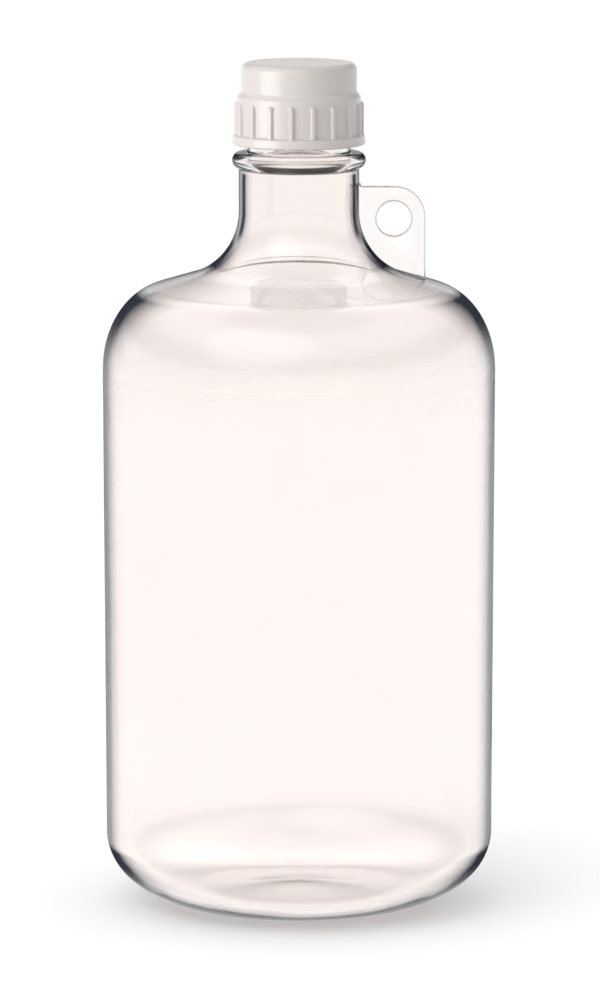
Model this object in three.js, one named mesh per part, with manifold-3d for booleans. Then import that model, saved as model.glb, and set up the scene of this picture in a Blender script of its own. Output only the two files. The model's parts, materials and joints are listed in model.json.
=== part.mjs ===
// Four-litre reagent bottle in clear plastic with a two-tier screw cap.
// Millimetres. +Z runs up the bottle, the origin is the centre of the foot at floor level,
// and the hanging tab points along +X.
import * as THREE from 'three';
import { mergeVertices } from 'three/addons/utils/BufferGeometryUtils.js';
import Module from 'manifold-3d';

const wasm = await Module();
wasm.setup();

// facets
const TURN_FACETS = 60;
const TAB_HOLE_FACETS = 32;
const RIB_FACETS = 8;
const DISH_STEPS = 4;
const FOOT_STEPS = 8;
const SHOULDER_STEPS = 6;
const TAB_ROOT_STEPS = 8;
const TAB_CORNER_STEPS = 8;
const BEAD_STEPS = 6;
const CAP_EDGE_STEPS = 4;
const THREAD_STEPS_PER_TURN = 40;
const THREAD_SECTION_STEPS = 4;
const THREAD_END_FACETS = 8;
const THREAD_END_RINGS = 6;
const MERGE_DISTANCE = 1e-4;

// body wall
const FOOT_WALL_RADIUS = 76.9;
const TOP_WALL_RADIUS = 77.8;
const WALL = 3.0;

// foot
const SEAT_OUTER = 37.0;
const SEAT_INNER = 31.5;
const FOOT_CORNER_HEIGHT = 29.0;
const PUSH_UP = 3.0;
const FLOOR = 3.6;

// shoulder
const SHOULDER_START = 214.9;
const SHOULDER_RADIAL = 25.9;
const SHOULDER_RISE = 33.8;
const SHOULDER_SLOPE = THREE.MathUtils.degToRad(17);
const FLARE_RADIUS = 26.5;

// neck, bead and finish
const NECK_RADIUS = 23.8;
const BEAD_BOTTOM = 294.9;
const BEAD_CENTRE_RADIUS = 23.3;
const BEAD_CENTRE_Z = 298.0;
const BEAD_TUBE = 3.1;
const FINISH_RADIUS = 20.2;
const BORE_RADIUS = 17.2;
const BORE_BOTTOM = 301.8;
const NECK_INSIDE_TOP = 297.0;
const MOUTH_Z = 332.3;
const MOUTH_ROUND = 0.8;

// thread, right-handed
const LEAD = 5.0;
const THREAD_TURNS = 1.5;
const THREAD_TUBE = 1.35;
const THREAD_START_Z = 311.3;
const BOTTLE_THREAD_RADIUS = 20.3;
const CAP_THREAD_RADIUS = 22.3;

// hanging tab
const TAB_THICKNESS = 4.0;
const TAB_TOP = 287.5;
const TAB_EDGE = 50.0;
const TAB_CORNER = 12.0;
const TAB_ROOT = 1.5;
const TAB_HOLE_X = 37.5;
const TAB_HOLE_Z = 274.7;
const TAB_HOLE_RADIUS = 6.9;

// screw cap
const CAP_BOTTOM = 304.3;
const CAP_TOP = 336.5;
const CAP_UPPER_RADIUS = 22.85;
const CAP_UPPER_BOTTOM = 326.2;
const CAP_LOWER_RADIUS = 24.4;
const CAP_LOWER_TOP = 323.8;
const CAP_EDGE_ROUND = 2.6;
const CAP_FLANGE_TOP = 308.1;
const CAP_FLANGE_TOP_RADIUS = 26.0;
const CAP_FLANGE_RADIUS = 26.3;
const CAP_LOWER_INSIDE = 22.4;
const CAP_UPPER_INSIDE = 21.2;
const CAP_INSIDE_STEP = 322.9;
const CAP_INSIDE_TOP = 334.5;
const RIB_COUNT = 18;
const RIB_FIRST_ANGLE = THREE.MathUtils.degToRad(-97);
const RIB_TUBE = 0.95;
const RIB_AXIS_RADIUS = 24.65;
const RIB_TOP = 320.9;
const RIB_TIP = 1.0;

// liner
const LINER_RADIUS = 20.8;
const LINER_BOTTOM = 332.6;
const LINER_TOP = 334.2;

const CLEAR_PLASTIC = new THREE.MeshStandardMaterial({ color: 0xf2ede8, roughness: 0.08, metalness: 0 });
const WHITE_PLASTIC = new THREE.MeshStandardMaterial({ color: 0xdedad6, roughness: 0.45, metalness: 0 });
const FOAM = new THREE.MeshStandardMaterial({ color: 0xf0efe9, roughness: 0.8, metalness: 0 });

function point(radius, height) {
  return new THREE.Vector2(radius, height);
}

// points along an ellipse, angles in radians from +radius towards +height, both ends included
function ellipse(centreRadius, centreHeight, radial, rise, from, to, steps) {
  const points = [];
  for (let i = 0; i <= steps; i += 1) {
    const angle = from + ((to - from) * i) / steps;
    points.push(point(centreRadius + radial * Math.cos(angle), centreHeight + rise * Math.sin(angle)));
  }
  return points;
}

// arc of a shallow dish: crown on the axis, rim at rimRadius, given from the axis outwards
function dish(crownHeight, rimRadius, rimHeight, steps) {
  const drop = crownHeight - rimHeight;
  const radius = (rimRadius * rimRadius + drop * drop) / (2 * drop);
  const sweep = Math.asin(rimRadius / radius);
  const points = [];
  for (let i = 0; i <= steps; i += 1) {
    const angle = (sweep * i) / steps;
    points.push(point(radius * Math.sin(angle), crownHeight - radius * (1 - Math.cos(angle))));
  }
  return points;
}

// shoulder and neck flare from the wall up to the straight neck, set in from the outside by depth
function shoulder(depth, steps) {
  const slope = SHOULDER_SLOPE;
  const radial = SHOULDER_RADIAL - depth;
  const rise = SHOULDER_RISE - depth;
  const flare = FLARE_RADIUS + depth;
  const centreRadius = TOP_WALL_RADIUS - SHOULDER_RADIAL;
  const last = Math.atan2(rise, radial * Math.tan(slope));
  const convex = ellipse(centreRadius, SHOULDER_START, radial, rise, 0, last, steps);
  const end = convex[convex.length - 1];
  const flareStartRadius = NECK_RADIUS - depth + flare * (1 - Math.sin(slope));
  const flareStartHeight = end.y + (end.x - flareStartRadius) * Math.tan(slope);
  const flareCentreRadius = flareStartRadius + flare * Math.sin(slope);
  const flareCentreHeight = flareStartHeight + flare * Math.cos(slope);
  const from = -Math.PI / 2 - slope;
  const concave = ellipse(flareCentreRadius, flareCentreHeight, flare, flare, from, -Math.PI, steps);
  return convex.concat(concave);
}

function lathe(profile) {
  const geometry = new THREE.LatheGeometry(profile, TURN_FACETS);
  geometry.rotateX(Math.PI / 2);
  return geometry;
}

function toSolid(geometry) {
  const bare = geometry.clone();
  bare.deleteAttribute('normal');
  bare.deleteAttribute('uv');
  const merged = mergeVertices(bare, MERGE_DISTANCE);
  return new wasm.Manifold(new wasm.Mesh({
    numProp: 3,
    vertProperties: new Float32Array(merged.attributes.position.array),
    triVerts: new Uint32Array(merged.index.array),
  }));
}

function toGeometry(solid) {
  const mesh = solid.getMesh();
  const geometry = new THREE.BufferGeometry();
  geometry.setAttribute('position', new THREE.BufferAttribute(mesh.vertProperties, 3));
  geometry.setIndex(new THREE.BufferAttribute(mesh.triVerts, 1));
  geometry.computeVertexNormals();
  return geometry;
}

class Helix extends THREE.Curve {
  constructor(radius, startHeight, turns) {
    super();
    this.radius = radius;
    this.startHeight = startHeight;
    this.turns = turns;
  }

  getPoint(t, target = new THREE.Vector3()) {
    const angle = 2 * Math.PI * this.turns * t;
    const height = this.startHeight + LEAD * this.turns * t;
    return target.set(this.radius * Math.cos(angle), this.radius * Math.sin(angle), height);
  }
}

// round ridge along a helix with a ball at each end
function threadSolid(radius, startHeight) {
  const helix = new Helix(radius, startHeight, THREAD_TURNS);
  const section = new THREE.Shape();
  section.absarc(0, 0, THREAD_TUBE, 0, 2 * Math.PI, false);
  const ridge = new THREE.ExtrudeGeometry(section, {
    steps: Math.round(THREAD_STEPS_PER_TURN * THREAD_TURNS),
    curveSegments: THREAD_SECTION_STEPS,
    extrudePath: helix,
    bevelEnabled: false,
  });
  let solid = toSolid(ridge);
  for (const end of [0, 1]) {
    const ball = new THREE.SphereGeometry(THREAD_TUBE, THREAD_END_FACETS, THREAD_END_RINGS);
    const centre = helix.getPoint(end);
    ball.translate(centre.x, centre.y, centre.z);
    solid = solid.add(toSolid(ball));
  }
  return solid;
}

// plate in the XZ plane, rooted inside the neck and shoulder wall
function tabSolid() {
  const root = shoulder(TAB_ROOT, TAB_ROOT_STEPS).filter((spot) => spot.x < TAB_EDGE);
  const outline = new THREE.Shape();
  const neckSide = root[root.length - 1].x;
  outline.moveTo(neckSide, TAB_TOP);
  for (const spot of root.reverse()) {
    outline.lineTo(spot.x, spot.y);
  }
  outline.lineTo(TAB_EDGE, root[root.length - 1].y);
  outline.lineTo(TAB_EDGE, TAB_TOP - TAB_CORNER);
  outline.absarc(TAB_EDGE - TAB_CORNER, TAB_TOP - TAB_CORNER, TAB_CORNER, 0, Math.PI / 2, false);
  outline.closePath();
  const plate = new THREE.ExtrudeGeometry(outline, {
    depth: TAB_THICKNESS,
    bevelEnabled: false,
    curveSegments: TAB_CORNER_STEPS,
  });
  plate.translate(0, 0, -TAB_THICKNESS / 2);
  plate.rotateX(Math.PI / 2);
  const through = 2 * TAB_THICKNESS;
  const drill = new THREE.CylinderGeometry(TAB_HOLE_RADIUS, TAB_HOLE_RADIUS, through, TAB_HOLE_FACETS);
  drill.translate(TAB_HOLE_X, 0, TAB_HOLE_Z);
  return toSolid(plate).subtract(toSolid(drill));
}

function bottleSolid() {
  const outside = [
    ...dish(PUSH_UP, SEAT_INNER, 0, DISH_STEPS),
    ...ellipse(SEAT_OUTER, FOOT_CORNER_HEIGHT, FOOT_WALL_RADIUS - SEAT_OUTER, FOOT_CORNER_HEIGHT,
      -Math.PI / 2, 0, FOOT_STEPS),
    ...shoulder(0, SHOULDER_STEPS),
    point(NECK_RADIUS, BEAD_BOTTOM),
    ...ellipse(BEAD_CENTRE_RADIUS, BEAD_CENTRE_Z, BEAD_TUBE, BEAD_TUBE, -Math.PI / 3, Math.PI / 2,
      BEAD_STEPS),
    point(FINISH_RADIUS, BEAD_CENTRE_Z + BEAD_TUBE),
    point(FINISH_RADIUS, MOUTH_Z - MOUTH_ROUND),
    point(FINISH_RADIUS - MOUTH_ROUND, MOUTH_Z),
  ];
  const inside = [
    ...dish(PUSH_UP + FLOOR, SEAT_INNER, FLOOR, DISH_STEPS),
    ...ellipse(SEAT_OUTER, FOOT_CORNER_HEIGHT, FOOT_WALL_RADIUS - SEAT_OUTER - WALL,
      FOOT_CORNER_HEIGHT - FLOOR, -Math.PI / 2, 0, FOOT_STEPS),
    ...shoulder(WALL, SHOULDER_STEPS),
    point(NECK_RADIUS - WALL, NECK_INSIDE_TOP),
    point(BORE_RADIUS, BORE_BOTTOM),
    point(BORE_RADIUS, MOUTH_Z),
  ];
  const shell = toSolid(lathe(outside.concat(inside.reverse())));
  const thread = threadSolid(BOTTLE_THREAD_RADIUS, THREAD_START_Z);
  return shell.add(tabSolid()).add(thread);
}

function ribSolid(index) {
  const profile = [
    point(0, CAP_FLANGE_TOP - RIB_TIP),
    point(RIB_TUBE, CAP_FLANGE_TOP - RIB_TIP),
    point(RIB_TUBE, RIB_TOP - RIB_TIP),
    point(RIB_TUBE / 2, RIB_TOP - RIB_TIP / 4),
    point(0, RIB_TOP),
  ];
  const rib = new THREE.LatheGeometry(profile, RIB_FACETS);
  rib.rotateX(Math.PI / 2);
  rib.translate(RIB_AXIS_RADIUS, 0, 0);
  rib.rotateZ(RIB_FIRST_ANGLE + (2 * Math.PI * index) / RIB_COUNT);
  return toSolid(rib);
}

function capSolid() {
  const edgeRadius = CAP_UPPER_RADIUS - CAP_EDGE_ROUND;
  const edgeHeight = CAP_TOP - CAP_EDGE_ROUND;
  const profile = [
    point(0, CAP_INSIDE_TOP),
    point(CAP_UPPER_INSIDE, CAP_INSIDE_TOP),
    point(CAP_UPPER_INSIDE, CAP_INSIDE_STEP + CAP_LOWER_INSIDE - CAP_UPPER_INSIDE),
    point(CAP_LOWER_INSIDE, CAP_INSIDE_STEP),
    point(CAP_LOWER_INSIDE, CAP_BOTTOM),
    point(CAP_FLANGE_RADIUS, CAP_BOTTOM),
    point(CAP_FLANGE_TOP_RADIUS, CAP_FLANGE_TOP),
    point(CAP_LOWER_RADIUS, CAP_FLANGE_TOP),
    point(CAP_LOWER_RADIUS, CAP_LOWER_TOP),
    point(CAP_UPPER_RADIUS, CAP_UPPER_BOTTOM),
    ...ellipse(edgeRadius, edgeHeight, CAP_EDGE_ROUND, CAP_EDGE_ROUND, 0, Math.PI / 2, CAP_EDGE_STEPS),
    point(0, CAP_TOP),
  ];
  let solid = toSolid(lathe(profile));
  for (let i = 0; i < RIB_COUNT; i += 1) {
    solid = solid.add(ribSolid(i));
  }
  return solid.add(threadSolid(CAP_THREAD_RADIUS, THREAD_START_Z - LEAD / 2));
}

function linerSolid() {
  const profile = [
    point(0, LINER_BOTTOM),
    point(LINER_RADIUS, LINER_BOTTOM),
    point(LINER_RADIUS, LINER_TOP),
    point(0, LINER_TOP),
  ];
  return toSolid(lathe(profile));
}

function node(name, solid, material) {
  const mesh = new THREE.Mesh(toGeometry(solid), material);
  mesh.name = name;
  return mesh;
}

const reagentBottle = new THREE.Group();
reagentBottle.name = 'reagent_bottle';
reagentBottle.add(node('bottle', bottleSolid(), CLEAR_PLASTIC));
reagentBottle.add(node('screw_cap', capSolid(), WHITE_PLASTIC));
reagentBottle.add(node('cap_liner', linerSolid(), FOAM));

export default reagentBottle;
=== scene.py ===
"""Reagent bottle in clear moulded plastic with a white two-tier screw cap.

Blender works in metres, with +Z up and the foot on z = 0. The sizes below say which unit they are in."""

import json
import math

import bmesh
import bpy
from mathutils import Matrix, Vector, noise


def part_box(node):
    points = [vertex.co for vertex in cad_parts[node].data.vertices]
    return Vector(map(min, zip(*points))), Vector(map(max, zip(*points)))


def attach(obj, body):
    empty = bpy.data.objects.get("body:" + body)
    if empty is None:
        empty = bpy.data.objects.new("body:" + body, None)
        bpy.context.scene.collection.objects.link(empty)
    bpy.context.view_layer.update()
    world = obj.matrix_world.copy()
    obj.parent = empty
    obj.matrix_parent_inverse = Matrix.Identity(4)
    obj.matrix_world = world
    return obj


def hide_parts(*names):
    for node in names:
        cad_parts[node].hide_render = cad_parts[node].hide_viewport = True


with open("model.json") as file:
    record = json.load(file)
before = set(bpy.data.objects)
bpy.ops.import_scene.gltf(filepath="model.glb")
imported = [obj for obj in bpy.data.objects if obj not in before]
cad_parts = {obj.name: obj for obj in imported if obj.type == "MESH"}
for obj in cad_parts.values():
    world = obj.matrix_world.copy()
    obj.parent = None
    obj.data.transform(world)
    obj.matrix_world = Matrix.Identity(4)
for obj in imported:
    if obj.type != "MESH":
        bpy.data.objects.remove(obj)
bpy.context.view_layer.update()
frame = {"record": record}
MM = 0.001


# ---------------------------------------------------------------- sizes that the frame gives, in millimetres


def reach_mm(node):
    """Outer radius, bottom and top of a CAD node that is round about the Z axis, or is but for the tab."""
    low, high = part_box(node)
    return [round(value / MM, 2) for value in (high[0], low[2], high[2])]


def opening_mm(name):
    """Centre of one of the record's openings."""
    openings = {opening["name"]: opening["box_m"] for opening in frame["record"]["physics"]["openings"]}
    low, high = openings[name]
    return [round((a + b) / 2 / MM, 2) for a, b in zip(low, high)]


TOP_WALL_RADIUS, _, MOUTH_Z = reach_mm("bottle")
CAP_FLANGE_RADIUS, CAP_BOTTOM, CAP_TOP = reach_mm("screw_cap")
LINER_RADIUS, LINER_BOTTOM, LINER_TOP = reach_mm("cap_liner")
TAB_HOLE_X, _, TAB_HOLE_Z = opening_mm("tab_hole")

# ---------------------------------------------------------------- sizes, in millimetres unless said otherwise

# body wall
FOOT_WALL_RADIUS = 76.9
WALL = 3.0

# foot
SEAT_OUTER = 37.0
SEAT_INNER = 31.5
FOOT_CORNER_HEIGHT = 29.0
PUSH_UP = 3.0
FLOOR_THICKNESS = 3.6

# shoulder and flare
SHOULDER_START = 214.9
SHOULDER_RADIAL = 25.9
SHOULDER_RISE = 33.8
SHOULDER_SLOPE = math.radians(17)
FLARE_RADIUS = 26.5

# mould line round the top of the wall
MOULD_LINE_Z = 211.0
MOULD_LINE_DEPTH = 0.006
MOULD_LINE_HALF = 1.0
MOULD_LINE_ZONE = 2.0

# slow waviness of the inner skin, scales per millimetre, and where it fades out towards the axis
SWELL_SCALE = 0.028
SWELL_STRETCH = 0.45
SWELL_DEPTH = 0.16
RIPPLE_SCALE = 3.1
RIPPLE_DEPTH = 0.05
CALM_RADIUS = 20.0
CALM_SPAN_LOW = 20.0
CALM_SPAN_HIGH = 25.0
CALM_SPLIT_Z = 200.0

# neck, bead, finish and mouth
NECK_RADIUS = 23.8
BEAD_BOTTOM = 294.9
BEAD_CENTRE_RADIUS = 23.3
BEAD_CENTRE_Z = 298.0
BEAD_TUBE = 3.1
BEAD_TOP = BEAD_CENTRE_Z + BEAD_TUBE
BEAD_FILLET = 0.7
FINISH_RADIUS = 20.2
BORE_RADIUS = 17.2
BEAD_START_ANGLE = -0.8
BORE_BOTTOM = 301.8
NECK_INSIDE_TOP = 297.0
MOUTH_ROUND = 0.8

# right-handed thread
LEAD = 5.0
THREAD_TURNS = 1.5
THREAD_START_Z = 311.3
THREAD_HEIGHT = 1.45
THREAD_HALF = 1.6
THREAD_CREST_POWER = 0.8
THREAD_RUN_OUT = 0.07
THREAD_CLEARANCE = 2.0

# hanging tab
TAB_THICKNESS = 4.0
TAB_TOP = 287.5
TAB_EDGE = 50.0
TAB_CORNER = 12.0
TAB_ROOT = 1.6
TAB_HOLE_RADIUS = 6.9
TAB_ROUND = 0.5
TAB_FILLET = 1.3

# screw cap
CAP_UPPER_RADIUS = 22.85
CAP_UPPER_BOTTOM = 326.2
CAP_LOWER_RADIUS = 24.4
CAP_LOWER_TOP = 323.8
CAP_EDGE_ROUND = 2.6
CAP_FLANGE_TOP = 308.1
CAP_FLANGE_TOP_RADIUS = 26.0
FLANGE_FILLET = 1.1
FLANGE_BOTTOM_ROUND = 0.6
FLANGE_TOP_ROUND = 0.5
CAP_LOWER_INSIDE = 22.4
CAP_UPPER_INSIDE = 21.2
CAP_INSIDE_STEP = 322.9
CAP_INSIDE_TOP = 334.5
CAP_INSIDE_ROUND = 0.6
CAP_LIP_ROUND = 0.4
CAP_SHOULDER_ROUND = 0.9
CAP_SHOULDER_TURN = 1.0
CAP_STEP_RADIAL = 1.2
CAP_STEP_RISE = 1.9
CAP_STEP_START = -math.pi * 0.68
RIB_COUNT = 18
RIB_FIRST_ANGLE = math.radians(-97)
RIB_HALF = 0.95
RIB_OUT = 1.2
RIB_SKIRT = 1.2
RIB_FLANK = 0.55
RIB_TOP = 320.9

# liner
LINER_ROUND = 0.3

# ---------------------------------------------------------------- how fine the meshes are

# facets round the axis
BOTTLE_TURN = 192
LINER_TURN = 144
RIB_STEPS = 12
RIB_GAP_STEPS = 6
HOLE_STEPS = 72

# spacing of rows along straight stretches, in millimetres
WALL_ROW = 4.0
NECK_ROW = 3.0
SLOPE_ROW = 2.0
CAP_ROW = 1.5
RIB_ROW = 0.35
THREAD_ROW = 0.3
MOULD_LINE_ROW = 0.3
LAND_ROW = 0.7
RIM_ROW = 0.6
DISC_ROW = 2.0
CAP_CEILING_ROW = 4.0

# steps along each round stretch
DISH_STEPS = 14
FOOT_STEPS = 28
SHOULDER_STEPS = 30
BEAD_STEPS = 24
TAPER_STEPS = 14
TAB_CORNER_STEPS = 24
FILLET_STEPS = 5
EDGE_STEPS = 6
WIDE_FILLET_STEPS = 8
CAP_EDGE_STEPS = 10
LINER_STEPS = 4
TAB_ROUND_STEPS = 3

# points and radii closer than this are the same, in millimetres, and the same for welding, in metres
SAME_POINT = 1e-4
SAME_RADIUS = 1e-3
ON_AXIS = 1e-6
WELD = 1e-6

# a tab face whose normal points less along Y than this belongs to the tab's edge
TAB_FLAT = 0.99

# edges sharper than this stay sharp
BOTTLE_CREASE = math.radians(40)
CAP_CREASE = math.radians(50)

# camera, in metres, with the lens in millimetres
CAMERA_DISTANCE = 3.0
CAMERA_ELEVATION = math.radians(8.9)
CAMERA_PIVOT = Vector((0.0, 0.0, 0.150))
CAMERA_AIM = Vector((0.0004, 0.0, 0.1620))
CAMERA_LENS = 271.4
CAMERA_REACH = 50

# studio, lengths in metres, brightness with paper white at 1
FLOOR_COLOUR = (0.95, 0.95, 0.95)
FLOOR_ROUGHNESS = 0.9
FLOOR_DROP = 0.0002
FLOOR_GLOW = 0.12
# painted light: the floor glows brighter near the bottle, fading out between these distances from the axis
NEAR_PAINTED_LIGHT = 0.09
NEAR_PAINTED_LIGHT_CORE = 0.15
NEAR_PAINTED_LIGHT_EDGE = 0.50
# painted light: a brighter patch under the foot that shows only through or in the plastic, in place of the
# light the plastic focuses there
FOOT_PAINTED_LIGHT = 0.45
FOOT_PAINTED_LIGHT_CORE = 0.055
FOOT_PAINTED_LIGHT_EDGE = 0.165
FLOOR_FADE_START = 1.30
FLOOR_REACH = 1.70
BAND_CORE = math.radians(8)
BAND_EDGE = math.radians(18)
BAND_GLOW = 1.02
GAP_GLOW = 0.30
CEILING_EDGE = math.radians(22)
CEILING_CORE = math.radians(44)
CEILING_GLOW = 1.25
ZENITH_EDGE = math.radians(58)
ZENITH_CORE = math.radians(72)
ZENITH_GLOW = 0.55
LEFT_LEAN = 0.12
KEY_DIRECTION = Vector((-0.45, -0.75, 0.85))
KEY_CORE = math.radians(12)
KEY_EDGE = math.radians(36)
KEY_GLOW = 1.0

# soft lamp from the left that only reaches the cap, in watts per square metre
CAP_LAMP_DIRECTION = Vector((-0.86, -0.50, 0.05))
CAP_LAMP_POWER = 2.4
CAP_LAMP_ANGLE = math.radians(46)

# clear plastic: share of red, green and blue light let through at each surface
TINT = (0.970, 0.927, 0.912)
# painted shade: the tab's rounded edge faces let through less than half, which draws the tab's outline as
# dark lines
TAB_EDGE_PAINTED_SHADE = (0.42, 0.41, 0.42)
PLASTIC_IOR = 1.5

# grain of each material: feature size in millimetres, detail, stretch along x, y and z
HAZE_GRAIN = (40, 2.0, (1, 1, 1))
SCUFF_GRAIN = (9, 5.0, (1, 1, 0.35))
RIPPLE_GRAIN = (26, 1.0, (1, 1, 0.4))
CAP_TONE_GRAIN = (18, 3.0, (1, 1, 1))
CAP_SATIN_GRAIN = (5, 4.0, (1, 1, 1))
CAP_SPECK_GRAIN = (1.2, 2.0, (1, 1, 1))
FOAM_GRAIN = (0.6, 3.0, (1, 1, 1))

# part of a grain's range that is used
HAZE_RANGE = (0.35, 0.65)
SCUFF_RANGE = (0.55, 0.75)
GRAIN_RANGE = (0.3, 0.7)

# bumps: distance in millimetres, strength
RIPPLE_BUMP = (0.25, 0.12)
CAP_BUMP = (0.02, 0.06)
FOAM_BUMP = (0.1, 0.4)

# colours and roughness, from the grain's low end to its high end
HAZE_SHARE = 0.99
SCUFF_ROUGHNESS = (0.0, 0.035)
CAP_COLOURS = ((0.476, 0.442, 0.428), (0.488, 0.453, 0.439))
CAP_ROUGHNESS = (0.225, 0.265)
FOAM_COLOURS = ((0.70, 0.70, 0.66), (0.84, 0.84, 0.80))
FOAM_ROUGHNESS = (0.75, 0.95)

# how much of the outer skin's light is given over to a painted dark shade at its edges, in place of the dark
# edges that refraction gives: (view from straight on, 0, to edge on, 1; share lost)
WALL_PAINTED_SHADE = [
    (0.55, 0.0),
    (0.61, 0.04),
    (0.65, 0.09),
    (0.68, 0.17),
    (0.72, 0.32),
    (0.785, 0.62),
    (0.88, 0.70),
    (1.0, 0.72),
]
CORNER_PAINTED_SHADE = [
    (0.48, 0.03),
    (0.56, 0.2),
    (0.63, 0.48),
    (0.67, 0.64),
    (0.70, 0.80),
    (0.745, 0.975),
    (1.0, 0.985),
]
SLOPE_PAINTED_SHADE = [(0.70, 0.0), (0.80, 0.12), (0.88, 0.45), (0.94, 0.78), (1.0, 0.85)]
NECK_PAINTED_SHADE = [
    (0.36, 0.0),
    (0.47, 0.25),
    (0.52, 0.48),
    (0.56, 0.9),
    (0.60, 0.98),
    (0.64, 0.93),
    (0.70, 0.6),
    (0.79, 0.62),
    (0.9, 0.88),
]

# where each of them holds: heights in metres, and how far the skin's normal points up or down
NECK_PAINTED_SHADE_SPAN = (0.264, 0.271, 0.2925, 0.2950)
FOOT_CORNER_SPAN = (0.10, 0.20)
UPPER_CORNER = (0.0, 0.55, 0.80, 0.87)
LOWER_CORNER = (0.12, 0.26, 0.45, 0.78)
SLOPE = (0.84, 0.93)
UNDERSIDE = (0.60, 0.85)
UNDERSIDE_SHARE = 0.3
# colour and roughness of the painted dark shade on the outer skin's edges
PAINTED_EDGE_SHADE_COLOUR = (0.015, 0.018, 0.03)
PAINTED_EDGE_SHADE_ROUGHNESS = 0.5
EVEN_FACING = 0.5

# share of the floor's light that the standing sides hold back, and where it ends under the foot
SHADOW_SHARE = 0.8
SHADOW_END = (0.7, 0.9)

# order of the clear bottle's three materials
INSIDE_SLOT = 1
TAB_EDGE_SLOT = 2


# ---------------------------------------------------------------- profiles


def ellipse(centre_r, centre_z, radial, rise, start, end, steps):
    """Points along an ellipse, angles from +radius towards +height, both ends included."""
    points = []
    for i in range(steps + 1):
        angle = start + (end - start) * i / steps
        points.append((centre_r + radial * math.cos(angle), centre_z + rise * math.sin(angle)))
    return points


def arc(centre_r, centre_z, radius, start, end, steps):
    return ellipse(centre_r, centre_z, radius, radius, start, end, steps)


def rows(start, end, spacing):
    """Points on a straight line between two points, ends left out."""
    length = math.hypot(end[0] - start[0], end[1] - start[1])
    count = max(1, round(length / spacing))
    return [
        (start[0] + (end[0] - start[0]) * i / count, start[1] + (end[1] - start[1]) * i / count)
        for i in range(1, count)
    ]


def ease(t):
    """Smooth step from 0 to 1."""
    t = min(1.0, max(0.0, t))
    return t * t * (3 - 2 * t)


def dish(crown, rim_radius, rim_height, steps):
    """A shallow crown that is level on the axis and at its rim, from the axis outwards."""
    points = []
    for i in range(steps + 1):
        radius = rim_radius * i / steps
        points.append((radius, rim_height + (crown - rim_height) * (1 - ease(radius / rim_radius))))
    return points


def shoulder(depth, steps):
    """Shoulder and neck flare from the wall up to the straight neck, set in from the outside by depth."""
    slope = SHOULDER_SLOPE
    radial = SHOULDER_RADIAL - depth
    rise = SHOULDER_RISE - depth
    flare = FLARE_RADIUS + depth
    last = math.atan2(rise, radial * math.tan(slope))
    convex = ellipse(TOP_WALL_RADIUS - SHOULDER_RADIAL, SHOULDER_START, radial, rise, 0, last, steps)
    end_r, end_z = convex[-1]
    start_r = NECK_RADIUS - depth + flare * (1 - math.sin(slope))
    start_z = end_z + (end_r - start_r) * math.tan(slope)
    centre_r = start_r + flare * math.sin(slope)
    centre_z = start_z + flare * math.cos(slope)
    concave = arc(centre_r, centre_z, flare, -math.pi / 2 - slope, -math.pi, steps)
    return convex + rows(convex[-1], concave[0], SLOPE_ROW) + concave


def foot_corner(depth, height):
    """The rounded corner from the seat to the wall, set in by depth and raised by height."""
    radial = FOOT_WALL_RADIUS - SEAT_OUTER - depth
    rise = FOOT_CORNER_HEIGHT - height
    return ellipse(SEAT_OUTER, FOOT_CORNER_HEIGHT, radial, rise, -math.pi / 2, 0, FOOT_STEPS)


def neck_taper():
    """The inside narrows smoothly from the neck to the bore."""
    wide = NECK_RADIUS - WALL
    shares = [i / TAPER_STEPS for i in range(TAPER_STEPS + 1)]
    return [
        (
            wide + (BORE_RADIUS - wide) * ease(share),
            NECK_INSIDE_TOP + (BORE_BOTTOM - NECK_INSIDE_TOP) * share,
        )
        for share in shares
    ]


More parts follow.
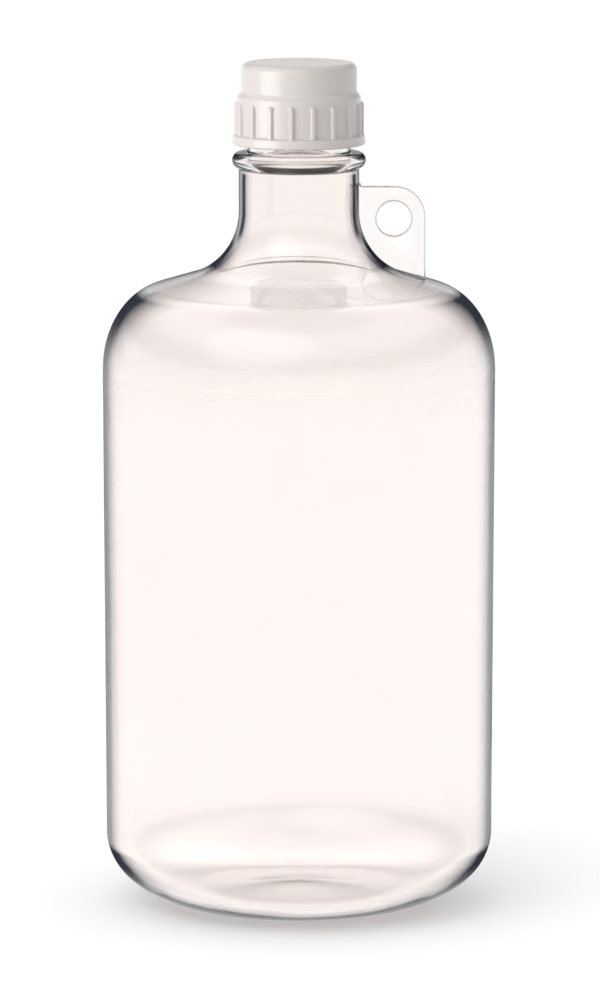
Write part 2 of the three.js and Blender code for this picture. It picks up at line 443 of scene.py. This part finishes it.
def bottle_profile():
    """Outside from the foot's centre up to the mouth, then inside back down to the floor's centre."""
    zone_low = MOULD_LINE_Z - MOULD_LINE_ZONE
    zone_high = MOULD_LINE_Z + MOULD_LINE_ZONE
    outside = dish(PUSH_UP, SEAT_INNER, 0, DISH_STEPS)
    outside += foot_corner(0, 0)
    outside += rows(outside[-1], (TOP_WALL_RADIUS, zone_low), WALL_ROW)
    zone_start = (TOP_WALL_RADIUS, zone_low - MOULD_LINE_ROW)
    outside += rows(zone_start, (TOP_WALL_RADIUS, zone_high + MOULD_LINE_ROW), MOULD_LINE_ROW)
    outside += shoulder(0, SHOULDER_STEPS)
    neck_top = BEAD_BOTTOM - BEAD_FILLET
    outside += rows(outside[-1], (NECK_RADIUS, neck_top), NECK_ROW)
    outside += arc(NECK_RADIUS + BEAD_FILLET, neck_top, BEAD_FILLET, math.pi, math.pi / 2, FILLET_STEPS)
    outside += arc(BEAD_CENTRE_RADIUS, BEAD_CENTRE_Z, BEAD_TUBE, BEAD_START_ANGLE, math.pi / 2, BEAD_STEPS)
    finish_foot = FINISH_RADIUS + BEAD_FILLET
    outside += rows(outside[-1], (finish_foot, BEAD_TOP), LAND_ROW)
    outside += arc(finish_foot, BEAD_TOP + BEAD_FILLET, BEAD_FILLET, -math.pi / 2, -math.pi, FILLET_STEPS)
    rim_z = MOUTH_Z - MOUTH_ROUND
    outside += rows(outside[-1], (FINISH_RADIUS, rim_z), THREAD_ROW)
    outside += arc(FINISH_RADIUS - MOUTH_ROUND, rim_z, MOUTH_ROUND, 0, math.pi / 2, EDGE_STEPS)
    inside = dish(PUSH_UP + FLOOR_THICKNESS, SEAT_INNER, FLOOR_THICKNESS, DISH_STEPS)
    inside += foot_corner(WALL, FLOOR_THICKNESS)
    inside += rows(inside[-1], (TOP_WALL_RADIUS - WALL, SHOULDER_START), WALL_ROW)
    inside += shoulder(WALL, SHOULDER_STEPS)
    inside += rows(inside[-1], (NECK_RADIUS - WALL, NECK_INSIDE_TOP), NECK_ROW)
    inside += neck_taper()
    lip = MOUTH_ROUND / 2
    inside += rows(inside[-1], (BORE_RADIUS, MOUTH_Z - lip), NECK_ROW)
    inside += arc(BORE_RADIUS + lip, MOUTH_Z - lip, lip, math.pi, math.pi / 2, FILLET_STEPS)
    return outside, inside[::-1]


def thread_height(angle, z, start_z):
    """How far a thread stands out at this angle (radians) and height."""
    best = 0.0
    turn = (angle / (2 * math.pi)) % 1.0
    while turn <= THREAD_TURNS:
        offset = abs(z - start_z - LEAD * turn)
        if offset < THREAD_HALF:
            run = min(turn, THREAD_TURNS - turn) / THREAD_RUN_OUT
            crest = math.cos(math.pi / 2 * offset / THREAD_HALF) ** THREAD_CREST_POWER
            best = max(best, THREAD_HEIGHT * crest * ease(run))
        turn += 1.0
    return best


# ---------------------------------------------------------------- meshes


def spun_mesh(profile, angles, radius_at, second_from=None):
    """A closed surface from a profile that starts and ends on the axis.
    radius_at(r, z, angle) gives the radius, and faces from row second_from on take the second material."""
    mesh = bmesh.new()
    rings = []
    for r, z in profile:
        if r < ON_AXIS:
            rings.append([mesh.verts.new((0, 0, z * MM))])
            continue
        ring = []
        for angle in angles:
            radius = radius_at(r, z, angle)
            spot = (radius * MM * math.cos(angle), radius * MM * math.sin(angle), z * MM)
            ring.append(mesh.verts.new(spot))
        rings.append(ring)
    count = len(angles)
    for row, (low, high) in enumerate(zip(rings, rings[1:])):
        material_index = INSIDE_SLOT if second_from is not None and row >= second_from else 0
        for i in range(count):
            j = (i + 1) % count
            near = [low[i], low[j]] if len(low) > 1 else low
            far = [high[j], high[i]] if len(high) > 1 else high
            corners = near + far
            mesh.faces.new(corners).material_index = material_index
    bmesh.ops.recalc_face_normals(mesh, faces=mesh.faces)
    return mesh


def to_object(name, mesh):
    data = bpy.data.meshes.new(name)
    mesh.to_mesh(data)
    mesh.free()
    piece = bpy.data.objects.new(name, data)
    bpy.context.scene.collection.objects.link(piece)
    return piece


def evaluated_mesh(piece):
    """The piece's mesh with its modifiers or its curve's bevel applied."""
    bpy.context.view_layer.update()
    return bpy.data.meshes.new_from_object(piece.evaluated_get(bpy.context.evaluated_depsgraph_get()))


def even_angles(count):
    return [2 * math.pi * i / count for i in range(count)]


def unique_points(points):
    """Drops points that repeat the one before."""
    kept = [points[0]]
    for spot in points[1:]:
        if math.hypot(spot[0] - kept[-1][0], spot[1] - kept[-1][1]) > SAME_POINT:
            kept.append(spot)
    return kept


def unevenness(r, z, angle):
    """Slow waviness of the blown inner skin, in millimetres."""
    spot = Vector((r * math.cos(angle), r * math.sin(angle), z * SWELL_STRETCH)) * SWELL_SCALE
    return SWELL_DEPTH * noise.noise(spot) + RIPPLE_DEPTH * noise.noise(spot * RIPPLE_SCALE)


def bottle_shell():
    outside, inside = [unique_points(points) for points in bottle_profile()]
    inner = set(inside)

    def radius_at(r, z, angle):
        if (r, z) in inner:
            span = CALM_SPAN_HIGH if z > CALM_SPLIT_Z else CALM_SPAN_LOW
            return r + unevenness(r, z, angle) * ease((r - CALM_RADIUS) / span)
        radius = r
        if abs(r - FINISH_RADIUS) < SAME_RADIUS and z > BEAD_TOP + THREAD_CLEARANCE:
            radius += thread_height(angle, z, THREAD_START_Z)
        if abs(z - MOULD_LINE_Z) < MOULD_LINE_HALF:
            radius -= MOULD_LINE_DEPTH * ease(1 - abs(z - MOULD_LINE_Z) / MOULD_LINE_HALF)
        return radius

    mesh = spun_mesh(outside + inside, even_angles(BOTTLE_TURN), radius_at, len(outside) - 1)
    return to_object("bottle_shell", mesh)


def tab_outline():
    """From the neck down along the shoulder's wall and up the tab's outer edge, set in by its rounding."""
    edge = TAB_EDGE - TAB_ROUND
    fillet_z = TAB_TOP - TAB_ROUND + TAB_FILLET
    root = [spot for spot in shoulder(TAB_ROOT, SHOULDER_STEPS) if spot[0] < edge][::-1]
    outline = arc(NECK_RADIUS + TAB_FILLET, fillet_z, TAB_FILLET, math.pi * 1.5, math.pi, WIDE_FILLET_STEPS)
    outline.append((root[0][0], fillet_z))
    outline += root
    outline.append((edge, root[-1][1]))
    corner = TAB_CORNER - TAB_ROUND
    outline += arc(TAB_EDGE - TAB_CORNER, TAB_TOP - TAB_CORNER, corner, 0, math.pi / 2, TAB_CORNER_STEPS)
    return outline


def tab_plate():
    """The flat tab with rounded edges and its hole, rooted in the wall."""
    curve = bpy.data.curves.new("tab_outline", "CURVE")
    curve.dimensions = "2D"
    curve.fill_mode = "BOTH"
    curve.extrude = (TAB_THICKNESS / 2 - TAB_ROUND) * MM
    curve.bevel_depth = TAB_ROUND * MM
    curve.bevel_resolution = TAB_ROUND_STEPS
    hole = arc(TAB_HOLE_X, TAB_HOLE_Z, TAB_HOLE_RADIUS + TAB_ROUND, 0, 2 * math.pi, HOLE_STEPS)
    for points in (tab_outline(), hole[:-1]):
        spline = curve.splines.new("POLY")
        spline.points.add(len(points) - 1)
        for slot, (x, z) in zip(spline.points, points):
            slot.co = (x * MM, z * MM, 0, 1)
        spline.use_cyclic_u = True
    holder = bpy.data.objects.new("tab_outline", curve)
    bpy.context.scene.collection.objects.link(holder)
    data = evaluated_mesh(holder)
    bpy.data.objects.remove(holder)
    mesh = bmesh.new()
    mesh.from_mesh(data)
    bpy.data.meshes.remove(data)
    bmesh.ops.remove_doubles(mesh, verts=mesh.verts, dist=WELD)
    bmesh.ops.rotate(mesh, verts=mesh.verts, cent=(0, 0, 0), matrix=Matrix.Rotation(math.pi / 2, 3, "X"))
    bmesh.ops.recalc_face_normals(mesh, faces=mesh.faces)
    # the tab's edge faces take the darker tint, painted shade that draws its outline
    for face in mesh.faces:
        if abs(face.normal.y) < TAB_FLAT:
            face.material_index = TAB_EDGE_SLOT
    return to_object("tab_plate", mesh)


def join_solids(target, tool):
    """Unites two closed meshes and removes the second object."""
    union = target.modifiers.new("union", "BOOLEAN")
    union.operation = "UNION"
    union.solver = "MANIFOLD"
    union.object = tool
    data = evaluated_mesh(target)
    target.modifiers.clear()
    target.data = data
    bpy.data.objects.remove(tool)


def shade(piece, crease):
    """Smooth shading, with edges sharper than the crease angle kept sharp."""
    for polygon in piece.data.polygons:
        polygon.use_smooth = True
    piece.data.set_sharp_from_angle(angle=crease)


def build_bottle(materials):
    piece = bottle_shell()
    tab = tab_plate()
    for material in materials:
        piece.data.materials.append(material)
        tab.data.materials.append(material)
    join_solids(piece, tab)
    piece.name = "clear_bottle"
    shade(piece, BOTTLE_CREASE)
    return piece


def rib_angles():
    """Angles round the cap, close together across each rib and wider between ribs."""
    pitch = 2 * math.pi / RIB_COUNT
    half = RIB_SKIRT * RIB_HALF / CAP_LOWER_RADIUS
    angles = []
    for i in range(RIB_COUNT):
        centre = RIB_FIRST_ANGLE + pitch * i
        angles += [centre - half + 2 * half * k / RIB_STEPS for k in range(RIB_STEPS)]
        gap = pitch - 2 * half
        angles += [centre + half + gap * k / RIB_GAP_STEPS for k in range(RIB_GAP_STEPS)]
    return angles


def rib_height(angle, z):
    """How far a rib stands out from the skirt."""
    pitch = 2 * math.pi / RIB_COUNT
    offset = (angle - RIB_FIRST_ANGLE + pitch / 2) % pitch - pitch / 2
    across = abs(offset) * CAP_LOWER_RADIUS / RIB_HALF
    above = max(0.0, z - (RIB_TOP - RIB_HALF)) / RIB_HALF
    distance = math.hypot(across, above)
    return RIB_OUT * ease((RIB_SKIRT - distance) / RIB_FLANK)


def cap_inside():
    """From the axis under the cap's top outwards, then down past the step and the thread to the lip."""
    top = CAP_INSIDE_TOP - CAP_INSIDE_ROUND
    step_top = CAP_INSIDE_STEP + CAP_LOWER_INSIDE - CAP_UPPER_INSIDE
    lip = CAP_BOTTOM + CAP_LIP_ROUND
    return [
        (0, CAP_INSIDE_TOP),
        *rows((0, CAP_INSIDE_TOP), (CAP_UPPER_INSIDE, CAP_INSIDE_TOP), CAP_CEILING_ROW),
        *arc(CAP_UPPER_INSIDE - CAP_INSIDE_ROUND, top, CAP_INSIDE_ROUND, math.pi / 2, 0, FILLET_STEPS),
        *rows((CAP_UPPER_INSIDE, top), (CAP_UPPER_INSIDE, step_top), DISC_ROW),
        (CAP_UPPER_INSIDE, step_top),
        (CAP_LOWER_INSIDE, CAP_INSIDE_STEP),
        *rows((CAP_LOWER_INSIDE, CAP_INSIDE_STEP), (CAP_LOWER_INSIDE, lip), THREAD_ROW),
        *arc(CAP_LOWER_INSIDE + CAP_LIP_ROUND, lip, CAP_LIP_ROUND, math.pi, math.pi * 1.5, FILLET_STEPS),
    ]


def cap_flange():
    """Up the flange at the cap's foot, over its edge and into the fillet of the lower tier."""
    low = CAP_BOTTOM + FLANGE_BOTTOM_ROUND
    high = CAP_FLANGE_TOP - FLANGE_TOP_ROUND
    top_centre = CAP_FLANGE_TOP_RADIUS - FLANGE_TOP_ROUND
    fillet_r = CAP_LOWER_RADIUS + FLANGE_FILLET
    fillet_z = CAP_FLANGE_TOP + FLANGE_FILLET
    return [
        *arc(CAP_FLANGE_RADIUS - FLANGE_BOTTOM_ROUND, low, FLANGE_BOTTOM_ROUND, -math.pi / 2, 0, EDGE_STEPS),
        *rows((CAP_FLANGE_RADIUS, low), (CAP_FLANGE_TOP_RADIUS, high), RIM_ROW),
        *arc(top_centre, high, FLANGE_TOP_ROUND, 0, math.pi / 2, EDGE_STEPS),
        *arc(fillet_r, fillet_z, FLANGE_FILLET, -math.pi / 2, -math.pi, WIDE_FILLET_STEPS),
    ]


def cap_tiers():
    """Up the ribbed lower tier, over the step, up the plain upper tier and across the top to the axis."""
    skirt_top = CAP_LOWER_TOP - CAP_SHOULDER_ROUND
    shoulder_r = CAP_LOWER_RADIUS - CAP_SHOULDER_ROUND
    step_r = CAP_UPPER_RADIUS + CAP_STEP_RADIAL
    edge_r = CAP_UPPER_RADIUS - CAP_EDGE_ROUND
    edge_z = CAP_TOP - CAP_EDGE_ROUND
    return [
        *rows((CAP_LOWER_RADIUS, CAP_FLANGE_TOP + FLANGE_FILLET), (CAP_LOWER_RADIUS, skirt_top), RIB_ROW),
        *arc(shoulder_r, skirt_top, CAP_SHOULDER_ROUND, 0, CAP_SHOULDER_TURN, EDGE_STEPS),
        *ellipse(
            step_r,
            CAP_UPPER_BOTTOM,
            CAP_STEP_RADIAL,
            CAP_STEP_RISE,
            CAP_STEP_START,
            -math.pi,
            WIDE_FILLET_STEPS,
        ),
        *rows((CAP_UPPER_RADIUS, CAP_UPPER_BOTTOM), (CAP_UPPER_RADIUS, edge_z), CAP_ROW),
        *arc(edge_r, edge_z, CAP_EDGE_ROUND, 0, math.pi / 2, CAP_EDGE_STEPS),
        *rows((edge_r, CAP_TOP), (0, CAP_TOP), DISC_ROW),
        (0, CAP_TOP),
    ]


def build_cap(material):
    profile = unique_points(cap_inside() + cap_flange() + cap_tiers())

    def radius_at(r, z, angle):
        if abs(r - CAP_LOWER_INSIDE) < SAME_RADIUS and CAP_BOTTOM + THREAD_CLEARANCE < z < CAP_INSIDE_STEP:
            return r - thread_height(angle, z, THREAD_START_Z - LEAD / 2)
        if abs(r - CAP_LOWER_RADIUS) <= FLANGE_FILLET and CAP_FLANGE_TOP < z < CAP_LOWER_TOP:
            rib = rib_height(angle, z)
            return max(r, CAP_LOWER_RADIUS + rib) if rib > 0 else r
        return r

    piece = to_object("white_screw_cap", spun_mesh(profile, rib_angles(), radius_at))
    piece.data.materials.append(material)
    shade(piece, CAP_CREASE)
    return piece


def liner_profile():
    edge = LINER_RADIUS - LINER_ROUND
    return [
        (0, LINER_BOTTOM),
        *rows((0, LINER_BOTTOM), (edge, LINER_BOTTOM), DISC_ROW),
        *arc(edge, LINER_BOTTOM + LINER_ROUND, LINER_ROUND, -math.pi / 2, 0, LINER_STEPS),
        *arc(edge, LINER_TOP - LINER_ROUND, LINER_ROUND, 0, math.pi / 2, LINER_STEPS),
        *rows((edge, LINER_TOP), (0, LINER_TOP), DISC_ROW),
        (0, LINER_TOP),
    ]


def build_liner(material):
    profile = unique_points(liner_profile())
    piece = to_object("foam_liner", spun_mesh(profile, even_angles(LINER_TURN), lambda r, z, angle: r))
    piece.data.materials.append(material)
    shade(piece, CAP_CREASE)
    return piece


# ---------------------------------------------------------------- materials


def new_material(name):
    material = bpy.data.materials.new(name)
    material.use_nodes = True
    tree = material.node_tree
    return material, tree, tree.nodes["Principled BSDF"]


def feed(tree, socket, value):
    """Links a socket to another, or sets it to a number."""
    if isinstance(value, bpy.types.NodeSocket):
        tree.links.new(value, socket)
    else:
        socket.default_value = value


def calculate(tree, operation, *values):
    node = tree.nodes.new("ShaderNodeMath")
    node.operation = operation
    for socket, value in zip(node.inputs, values):
        feed(tree, socket, value)
    return node.outputs["Value"]


def remap(tree, value, low, high, to_low=0.0, to_high=1.0):
    """Smooth step of a value between low and high."""
    node = tree.nodes.new("ShaderNodeMapRange")
    node.interpolation_type = "SMOOTHSTEP"
    feed(tree, node.inputs["Value"], value)
    for name, number in (("From Min", low), ("From Max", high), ("To Min", to_low), ("To Max", to_high)):
        node.inputs[name].default_value = number
    return node.outputs["Result"]


def grain(tree, size, detail, stretch):
    """Noise over the piece's own coordinates with features of about this size in millimetres."""
    place = tree.nodes.new("ShaderNodeTexCoord")
    squeeze = tree.nodes.new("ShaderNodeMapping")
    squeeze.inputs["Scale"].default_value = stretch
    pattern = tree.nodes.new("ShaderNodeTexNoise")
    pattern.inputs["Scale"].default_value = 1 / (size * MM)
    pattern.inputs["Detail"].default_value = detail
    tree.links.new(place.outputs["Object"], squeeze.inputs["Vector"])
    tree.links.new(squeeze.outputs["Vector"], pattern.inputs["Vector"])
    return pattern.outputs["Fac"]


def colour_ramp(tree, value, stops):
    """stops is [(position, colour)]."""
    ramp = tree.nodes.new("ShaderNodeValToRGB")
    elements = ramp.color_ramp.elements
    while len(elements) < len(stops):
        elements.new(0.5)
    for element, (position, colour) in zip(elements, stops):
        element.position = position
        element.color = (*colour, 1)
    tree.links.new(value, ramp.inputs["Fac"])
    return ramp.outputs["Color"]


def bump(tree, shader, height, distance, strength):
    node = tree.nodes.new("ShaderNodeBump")
    node.inputs["Distance"].default_value = distance * MM
    node.inputs["Strength"].default_value = strength
    tree.links.new(height, node.inputs["Height"])
    tree.links.new(node.outputs["Normal"], shader.inputs["Normal"])


def blend(tree, share, first, second):
    """first where share is 0, second where it is 1."""
    return calculate(tree, "MULTIPLY_ADD", calculate(tree, "SUBTRACT", second, first), share, first)


def mix_shaders(tree, share, first, second):
    """The material shows first's output where share is 0, and second's where it is 1."""
    mix = tree.nodes.new("ShaderNodeMixShader")
    tree.links.new(share, mix.inputs["Fac"])
    tree.links.new(first.outputs["BSDF"], mix.inputs[1])
    tree.links.new(second.outputs["BSDF"], mix.inputs[2])
    tree.links.new(mix.outputs["Shader"], tree.nodes["Material Output"].inputs["Surface"])


def hump(tree, value, limits):
    """Rises smoothly from 0 to 1 between the first two limits and falls back between the last two."""
    rise = remap(tree, value, limits[0], limits[1])
    fall = remap(tree, value, limits[2], limits[3], 1.0, 0.0)
    return calculate(tree, "MULTIPLY", rise, fall)


def painted_edge_shade_share(tree, normal_z, downward, height):
    """How much painted dark shade the outer skin gets: most on the rounded corners, in a line on the thick
    neck, in a thin line on the shoulder's slope, and least on the wall and the underside."""
    facing = tree.nodes.new("ShaderNodeLayerWeight")
    facing.inputs["Blend"].default_value = EVEN_FACING
    ramps = []
    for shares in (WALL_PAINTED_SHADE, CORNER_PAINTED_SHADE, NECK_PAINTED_SHADE, SLOPE_PAINTED_SHADE):
        greys = [(position, (share,) * 3) for position, share in shares]
        ramps.append(colour_ramp(tree, facing.outputs["Facing"], greys))
    wall, corner, neck, slope = ramps
    near_foot = remap(tree, height, *FOOT_CORNER_SPAN, 1.0, 0.0)
    lower = calculate(tree, "MULTIPLY", hump(tree, downward, LOWER_CORNER), near_foot)
    upper = hump(tree, normal_z, UPPER_CORNER)
    rim = blend(tree, calculate(tree, "MAXIMUM", upper, lower), wall, corner)
    rim = blend(tree, remap(tree, normal_z, *SLOPE), rim, slope)
    rim = blend(tree, hump(tree, height, NECK_PAINTED_SHADE_SPAN), rim, neck)
    return calculate(tree, "MULTIPLY", rim, remap(tree, downward, *UNDERSIDE, 1.0, UNDERSIDE_SHARE))


def shadow_share(tree, backfacing, downward):
    """How dark the standing sides are to the floor outside, which gives them a soft shadow."""
    path = tree.nodes.new("ShaderNodeLightPath")
    outside = calculate(tree, "SUBTRACT", 1.0, backfacing)
    seen_by_floor = calculate(tree, "MULTIPLY", path.outputs["Is Diffuse Ray"], outside)
    standing = remap(tree, downward, *SHADOW_END, SHADOW_SHARE, 0.0)
    return calculate(tree, "MULTIPLY", seen_by_floor, standing)


def paint_edge_shade(tree, shader):
    """Mixes in a painted dark shade where the outer skin is seen edge on, and where it shades the floor."""
    shape = tree.nodes.new("ShaderNodeNewGeometry")
    normal = tree.nodes.new("ShaderNodeSeparateXYZ")
    tree.links.new(shape.outputs["Normal"], normal.inputs["Vector"])
    downward = calculate(tree, "MULTIPLY", normal.outputs["Z"], -1.0)
    place = tree.nodes.new("ShaderNodeTexCoord")
    spot = tree.nodes.new("ShaderNodeSeparateXYZ")
    tree.links.new(place.outputs["Object"], spot.inputs["Vector"])
    rim = painted_edge_shade_share(tree, normal.outputs["Z"], downward, spot.outputs["Z"])
    shadow = shadow_share(tree, shape.outputs["Backfacing"], downward)
    # painted shade: this dark shader is mixed in where the skin is seen edge on
    dark = tree.nodes.new("ShaderNodeBsdfPrincipled")
    dark.inputs["Base Color"].default_value = (*PAINTED_EDGE_SHADE_COLOUR, 1)
    dark.inputs["Roughness"].default_value = PAINTED_EDGE_SHADE_ROUGHNESS
    dark.inputs["Specular IOR Level"].default_value = 0.0
    mix_shaders(tree, calculate(tree, "MAXIMUM", rim, shadow), shader, dark)


def clear_plastic(name, tint, outer):
    """Clear moulded plastic that lets through this share of red, green and blue at each surface."""
    material, tree, shader = new_material(name)
    shader.inputs["Transmission Weight"].default_value = 1.0
    shader.inputs["IOR"].default_value = PLASTIC_IOR
    tints = (tint, tuple(share * HAZE_SHARE for share in tint))
    haze = colour_ramp(tree, grain(tree, *HAZE_GRAIN), list(zip(HAZE_RANGE, tints)))
    tree.links.new(haze, shader.inputs["Base Color"])
    scuffs = remap(tree, grain(tree, *SCUFF_GRAIN), *SCUFF_RANGE, *SCUFF_ROUGHNESS)
    tree.links.new(scuffs, shader.inputs["Roughness"])
    bump(tree, shader, grain(tree, *RIPPLE_GRAIN), *RIPPLE_BUMP)
    # the outer skin gets a painted dark shade at its edges
    if outer:
        paint_edge_shade(tree, shader)
    return material


def white_plastic():
    material, tree, shader = new_material("white_plastic")
    tone = grain(tree, *CAP_TONE_GRAIN)
    colour = colour_ramp(tree, tone, list(zip(GRAIN_RANGE, CAP_COLOURS)))
    tree.links.new(colour, shader.inputs["Base Color"])
    satin = remap(tree, grain(tree, *CAP_SATIN_GRAIN), *GRAIN_RANGE, *CAP_ROUGHNESS)
    tree.links.new(satin, shader.inputs["Roughness"])
    bump(tree, shader, grain(tree, *CAP_SPECK_GRAIN), *CAP_BUMP)
    return material


def liner_foam():
    material, tree, shader = new_material("liner_foam")
    cells = grain(tree, *FOAM_GRAIN)
    colour = colour_ramp(tree, cells, list(zip(GRAIN_RANGE, FOAM_COLOURS)))
    tree.links.new(colour, shader.inputs["Base Color"])
    tree.links.new(remap(tree, cells, *GRAIN_RANGE, *FOAM_ROUGHNESS), shader.inputs["Roughness"])
    bump(tree, shader, cells, *FOAM_BUMP)
    return material


# ---------------------------------------------------------------- stage, light and camera


def stage_plane(name, corners, material):
    mesh = bpy.data.meshes.new(name)
    mesh.from_pydata(corners, [], [tuple(range(len(corners)))])
    plane = bpy.data.objects.new(name, mesh)
    bpy.context.scene.collection.objects.link(plane)
    plane.data.materials.append(material)


def floor_material():
    """A pale table with a faint glow of its own that fades into the studio far out, with painted light: a
    pool that is brighter near the bottle, and a brighter patch under the foot. The real plastic focuses light
    on the patch under the foot; here that light is painted on and shows only where it is seen through or
    reflected in the plastic."""
    material, tree, shader = new_material("pale_floor")
    shader.inputs["Base Color"].default_value = (*FLOOR_COLOUR, 1)
    shader.inputs["Roughness"].default_value = FLOOR_ROUGHNESS
    shader.inputs["Specular IOR Level"].default_value = 0.0
    shader.inputs["Emission Color"].default_value = (1, 1, 1, 1)
    place = tree.nodes.new("ShaderNodeTexCoord")
    reach = tree.nodes.new("ShaderNodeVectorMath")
    reach.operation = "LENGTH"
    tree.links.new(place.outputs["Object"], reach.inputs[0])
    distance = reach.outputs["Value"]
    # painted light: a brighter patch under the foot, seen only through or reflected in the plastic
    painted_foot_light = remap(tree, distance, FOOT_PAINTED_LIGHT_CORE, FOOT_PAINTED_LIGHT_EDGE, FOOT_PAINTED_LIGHT, 0.0)
    # painted light: a pool on the floor that is brighter near the bottle
    near = remap(tree, distance, NEAR_PAINTED_LIGHT_CORE, NEAR_PAINTED_LIGHT_EDGE, FLOOR_GLOW + NEAR_PAINTED_LIGHT, FLOOR_GLOW)
    path = tree.nodes.new("ShaderNodeLightPath")
    through = path.outputs["Is Transmission Ray"]
    by_plastic = calculate(tree, "MAXIMUM", through, path.outputs["Is Glossy Ray"])
    glow = calculate(tree, "MULTIPLY_ADD", painted_foot_light, by_plastic, near)
    tree.links.new(glow, shader.inputs["Emission Strength"])
    clear = tree.nodes.new("ShaderNodeBsdfTransparent")
    mix_shaders(tree, remap(tree, distance, FLOOR_FADE_START, FLOOR_REACH), shader, clear)
    return material


def studio_world():
    """A pale band all round up to a little above the horizon, a dimmer gap, a soft ring of light overhead
    that is a little stronger on the left, and a small key light."""
    world = bpy.data.worlds.new("studio")
    world.use_nodes = True
    tree = world.node_tree
    place = tree.nodes.new("ShaderNodeTexCoord")
    split = tree.nodes.new("ShaderNodeSeparateXYZ")
    tree.links.new(place.outputs["Generated"], split.inputs["Vector"])
    z = split.outputs["Z"]
    band = remap(tree, z, math.sin(BAND_CORE), math.sin(BAND_EDGE), BAND_GLOW, GAP_GLOW)
    ceiling = remap(tree, z, math.sin(CEILING_EDGE), math.sin(CEILING_CORE), GAP_GLOW, CEILING_GLOW)
    zenith = remap(tree, z, math.sin(ZENITH_EDGE), math.sin(ZENITH_CORE), 0.0, CEILING_GLOW - ZENITH_GLOW)
    overhead = calculate(tree, "SUBTRACT", ceiling, zenith)
    leaning = calculate(tree, "MULTIPLY_ADD", split.outputs["X"], -LEFT_LEAN, 1.0)
    spread = calculate(tree, "MAXIMUM", band, calculate(tree, "MULTIPLY", overhead, leaning))
    toward = tree.nodes.new("ShaderNodeVectorMath")
    toward.operation = "DOT_PRODUCT"
    tree.links.new(place.outputs["Generated"], toward.inputs[0])
    toward.inputs[1].default_value = KEY_DIRECTION.normalized()
    key = remap(tree, toward.outputs["Value"], math.cos(KEY_EDGE), math.cos(KEY_CORE), 0.0, KEY_GLOW)
    background = tree.nodes["Background"]
    background.inputs["Color"].default_value = (1, 1, 1, 1)
    tree.links.new(calculate(tree, "ADD", spread, key), background.inputs["Strength"])
    bpy.context.scene.world = world


def cap_lamp(cap):
    """A broad soft lamp low on the left, linked to the cap alone so that it leaves no shadow on the floor."""
    lamp = bpy.data.lights.new("cap_lamp", "SUN")
    lamp.energy = CAP_LAMP_POWER
    lamp.angle = CAP_LAMP_ANGLE
    holder = bpy.data.objects.new("cap_lamp", lamp)
    holder.rotation_euler = CAP_LAMP_DIRECTION.to_track_quat("Z", "Y").to_euler()
    bpy.context.scene.collection.objects.link(holder)
    lit = bpy.data.collections.new("cap_lamp_lights")
    lit.objects.link(cap)
    holder.light_linking.receiver_collection = lit


def build_stage():
    around = ((-1, -1), (1, -1), (1, 1), (-1, 1))
    corners = [(x * FLOOR_REACH, y * FLOOR_REACH, -FLOOR_DROP) for x, y in around]
    stage_plane("floor", corners, floor_material())
    studio_world()


def build_camera():
    data = bpy.data.cameras.new("camera")
    data.lens = CAMERA_LENS
    data.clip_end = CAMERA_REACH
    camera = bpy.data.objects.new("camera", data)
    back = Vector((0, -math.cos(CAMERA_ELEVATION), math.sin(CAMERA_ELEVATION)))
    camera.location = CAMERA_PIVOT + back * CAMERA_DISTANCE
    camera.rotation_euler = (CAMERA_AIM - camera.location).to_track_quat("-Z", "Y").to_euler()
    bpy.context.scene.collection.objects.link(camera)
    bpy.context.scene.camera = camera


def place(piece, body, node, slot_name):
    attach(piece, body)
    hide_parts(node)


def main():
    skin = clear_plastic("clear_plastic", TINT, True)
    inside = clear_plastic("clear_plastic_inside", TINT, False)
    # painted shade: the tab's edge faces let through less light, drawing its outline dark
    edge = clear_plastic("clear_plastic_painted_edge_shade", TAB_EDGE_PAINTED_SHADE, False)
    place(build_bottle((skin, inside, edge)), "bottle", "bottle", "clear_plastic")
    cap = build_cap(white_plastic())
    place(cap, "cap", "screw_cap", "white_plastic")
    place(build_liner(liner_foam()), "liner", "cap_liner", "liner_foam")
    build_stage()
    cap_lamp(cap)
    build_camera()
    bpy.context.scene.view_settings.view_transform = "Standard"


main()
